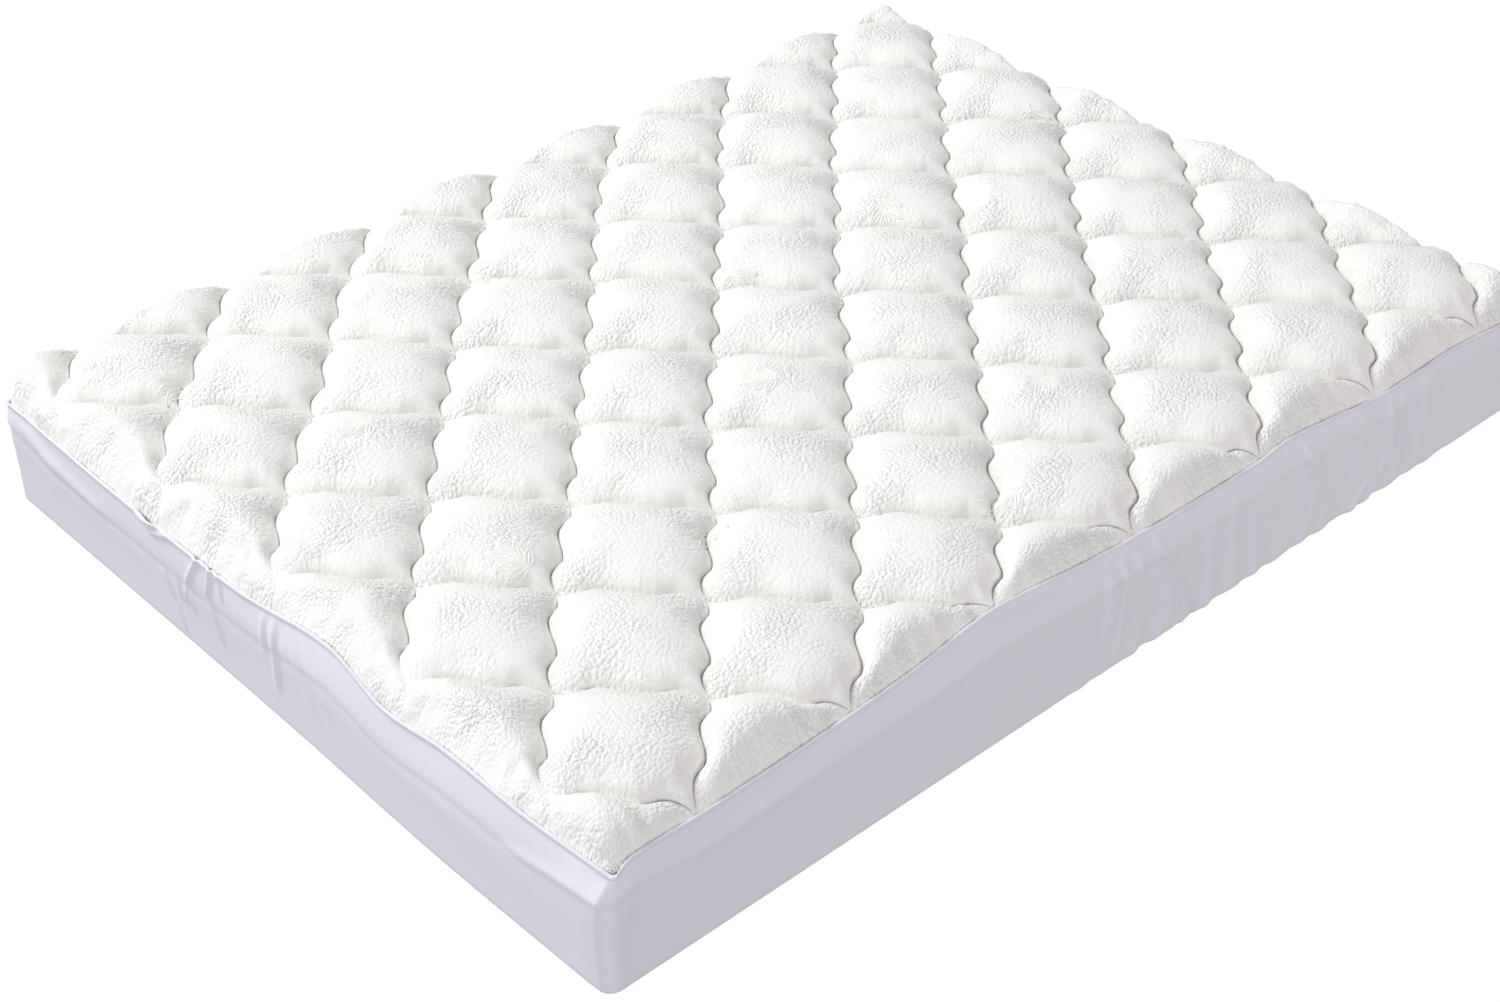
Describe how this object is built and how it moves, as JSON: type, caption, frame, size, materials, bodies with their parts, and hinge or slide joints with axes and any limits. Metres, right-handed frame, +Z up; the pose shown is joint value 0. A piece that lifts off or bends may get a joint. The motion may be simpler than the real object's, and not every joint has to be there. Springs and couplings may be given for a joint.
{
  "type": "mattress topper on a mattress",
  "caption": "Quilted mattress topper with raised wavy diamonds and a plain stretch skirt, fitted over a plain mattress with its hem turned under.",
  "frame": {"origin": "middle of the underside, where the mattress and the skirt's turned hem lie on the surface", "axes": "+X along the length, +Y along the width towards the back, +Z up"},
  "size_m": [2.0168, 1.5497, 0.273],
  "materials": {
    "mattress_ticking": "plain woven cotton ticking, matt",
    "skirt_knit": "smooth stretch knit, cool white with a slight sheen",
    "top_knit": "crinkled jacquard knit, warm white, matt"
  },
  "bodies": {
    "root": {"mattress": "mattress_ticking", "skirt": "skirt_knit", "quilted_top": "top_knit"}
  },
  "joints": []
}
